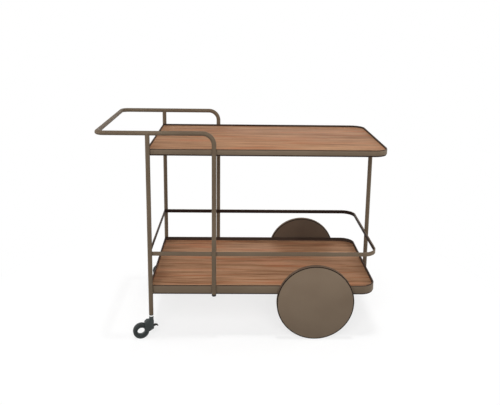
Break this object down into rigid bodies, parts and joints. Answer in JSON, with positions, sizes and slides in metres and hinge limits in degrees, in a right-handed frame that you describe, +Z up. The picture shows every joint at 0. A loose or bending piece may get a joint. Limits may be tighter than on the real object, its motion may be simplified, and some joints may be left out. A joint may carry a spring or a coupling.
{
  "type": "drinks trolley",
  "caption": "Two-tier tubular steel drinks trolley with rimmed wood trays, a guard rail, large disc wheels, braked swivel casters and a looped push handle.",
  "frame": {"origin": "on the floor under the middle of the whole length and depth", "axes": "+X along the trolley away from the handle, +Y across it to the back, +Z up"},
  "size_m": [1.019, 0.5742, 0.762],
  "materials": {
    "bronze_paint": "satin bronze powder coat",
    "walnut_veneer": "matt lacquered walnut veneer",
    "plain_steel": "zinc plated",
    "bright_steel": "bright nickel plated",
    "dark_rubber": "matt",
    "charcoal_moulding": "moulded, fine grain",
    "charcoal_tyre": "matt",
    "nylon": "natural"
  },
  "bodies": {
    "frame": {"handle_tube": "bronze_paint", "end_post": "bronze_paint", "end_post_bracket": "bronze_paint", "end_bracket_screws": "plain_steel", "post_end_plugs": "charcoal_moulding", "top_rim": "bronze_paint", "bottom_rim": "bronze_paint", "top_panel": "walnut_veneer", "bottom_panel": "walnut_veneer", "top_slats": "bronze_paint", "bottom_slats": "bronze_paint", "axle_slat": "bronze_paint", "top_panel_screws": "plain_steel", "bottom_panel_screws": "plain_steel", "guard_rail_hoop": "bronze_paint", "guard_rail_end_bar": "bronze_paint", "axle": "plain_steel", "axle_bracket_bolts": "plain_steel", "axle_spacers": "plain_steel", "axle_washers": "plain_steel", "axle_nuts": "plain_steel", "front_outer_post": "bronze_paint", "front_axle_bracket": "bronze_paint", "front_caster_stem": "bright_steel", "front_caster_socket": "charcoal_moulding", "back_outer_post": "bronze_paint", "back_axle_bracket": "bronze_paint", "back_caster_stem": "bright_steel", "back_caster_socket": "charcoal_moulding"},
    "front_wheel": {"front_wheel_dish": "bronze_paint", "front_wheel_cover": "bronze_paint", "front_wheel_hub": "plain_steel", "front_wheel_bush": "nylon", "front_wheel_tyre": "dark_rubber"},
    "front_caster": {"front_caster_housing": "charcoal_moulding", "front_caster_core": "charcoal_moulding", "front_brake_pin": "plain_steel"},
    "front_caster_wheel": {"front_caster_tyre": "charcoal_tyre"},
    "front_brake": {"front_brake_lever": "charcoal_moulding"},
    "back_wheel": {"back_wheel_dish": "bronze_paint", "back_wheel_cover": "bronze_paint", "back_wheel_hub": "plain_steel", "back_wheel_bush": "nylon", "back_wheel_tyre": "dark_rubber"},
    "back_caster": {"back_caster_housing": "charcoal_moulding", "back_caster_core": "charcoal_moulding", "back_brake_pin": "plain_steel"},
    "back_caster_wheel": {"back_caster_tyre": "charcoal_tyre"},
    "back_brake": {"back_brake_lever": "charcoal_moulding"}
  },
  "joints": [
    {"name": "front_wheel_spin", "type": "hinge", "parent": "frame", "child": "front_wheel", "pos_m": [0.2661, -0.258, 0.14], "axis": [0, 1, 0], "continuous": true},
    {"name": "front_caster_swivel", "type": "hinge", "parent": "frame", "child": "front_caster", "pos_m": [-0.3265, -0.2594, 0.08], "axis": [0, 0, 1], "continuous": true},
    {"name": "front_caster_roll", "type": "hinge", "parent": "front_caster", "child": "front_caster_wheel", "pos_m": [-0.36264, -0.27114, 0.029], "axis": [-0.309, 0.9511, 0], "continuous": true},
    {"name": "front_brake_press", "type": "hinge", "parent": "front_caster", "child": "front_brake", "pos_m": [-0.32555, -0.25909, 0.04], "axis": [-0.309, 0.9511, 0], "range_deg": [0, 20]},
    {"name": "back_wheel_spin", "type": "hinge", "parent": "frame", "child": "back_wheel", "pos_m": [0.2661, 0.258, 0.14], "axis": [0, 1, 0], "continuous": true},
    {"name": "back_caster_swivel", "type": "hinge", "parent": "frame", "child": "back_caster", "pos_m": [-0.3265, 0.2594, 0.08], "axis": [0, 0, 1], "continuous": true},
    {"name": "back_caster_roll", "type": "hinge", "parent": "back_caster", "child": "back_caster_wheel", "pos_m": [-0.36264, 0.27114, 0.029], "axis": [0.309, 0.9511, 0], "continuous": true},
    {"name": "back_brake_press", "type": "hinge", "parent": "back_caster", "child": "back_brake", "pos_m": [-0.32555, 0.25909, 0.04], "axis": [0.309, 0.9511, 0], "range_deg": [0, 20]}
  ]
}
